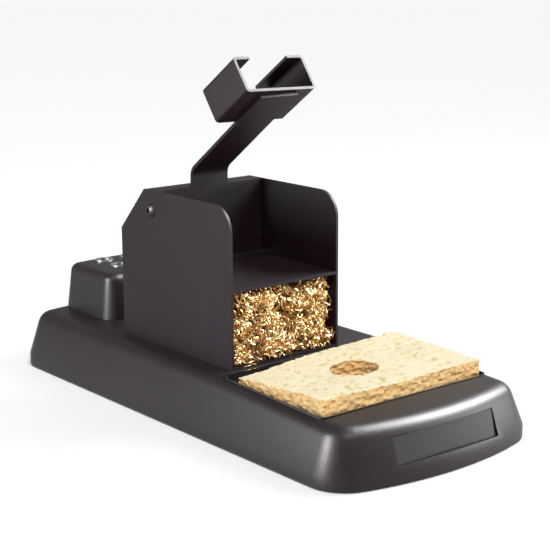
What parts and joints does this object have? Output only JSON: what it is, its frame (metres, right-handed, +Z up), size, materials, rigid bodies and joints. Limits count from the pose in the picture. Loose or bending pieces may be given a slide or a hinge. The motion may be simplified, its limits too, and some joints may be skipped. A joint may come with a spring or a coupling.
{
  "type": "soldering iron station",
  "caption": "Bench stand for a soldering iron: tilting cradle on a folded sheet tower with brass wool, wiping sponge in a pan, and a spare-tip rack.",
  "frame": {"origin": "on the bench, under the middle of the base", "axes": "-Y the front with the sponge and the name plate, +X to the right seen from the front, +Z up"},
  "size_m": [0.112, 0.252, 0.1584],
  "materials": {
    "base_plastic": "fine grain, charcoal",
    "floor_steel": "zinc plated sheet",
    "foot_rubber": "matt black",
    "zinc_steel": "zinc plated",
    "plate_gloss": "glossy black, blank",
    "bright_steel": "bright plated",
    "pan_black": "glossy black enamel",
    "sponge_cellulose": "open-pored cellulose, pale yellow",
    "black_paint": "satin black powder coat",
    "wool_brass": "bright curled shavings",
    "black_steel": "black oxide",
    "washer_nylon": "natural nylon"
  },
  "bodies": {
    "stand": {"base_shell": "base_plastic", "bottom_plate": "floor_steel", "rubber_feet": "foot_rubber", "foot_screws": "zinc_steel", "plate_screws": "zinc_steel", "name_plate": "plate_gloss", "tip_liners": "bright_steel", "tower_body": "black_paint", "wool_shelf": "black_paint", "tower_screws": "zinc_steel", "tower_nuts": "zinc_steel", "tilt_screws": "black_steel", "tilt_washers": "washer_nylon", "tilt_lock_washers": "zinc_steel", "tilt_nuts": "zinc_steel"},
    "bracket": {"back_panel": "black_paint", "arm_strip": "black_paint", "arm_rivets": "black_paint", "cradle": "black_paint", "cradle_rivets": "black_paint"},
    "pan": {"sponge_pan": "pan_black"},
    "wiping_sponge": {"sponge": "sponge_cellulose"},
    "wool_pad": {"brass_wool": "wool_brass"}
  },
  "joints": [
    {"name": "bracket_tilt", "type": "hinge", "parent": "stand", "child": "bracket", "pos_m": [-0.009, 0.02675, 0.0885], "axis": [1, 0, 0], "range_deg": [-15, 20]},
    {"name": "pan_lift", "type": "slide", "parent": "stand", "child": "pan", "axis": [0, -0.0296, 0.9996], "range_m": [0, 0.04]},
    {"name": "sponge_lift", "type": "slide", "parent": "pan", "child": "wiping_sponge", "axis": [0, -0.0296, 0.9996], "range_m": [0, 0.04]},
    {"name": "wool_pull", "type": "slide", "parent": "stand", "child": "wool_pad", "axis": [0, -1, 0], "range_m": [0, 0.008]}
  ]
}
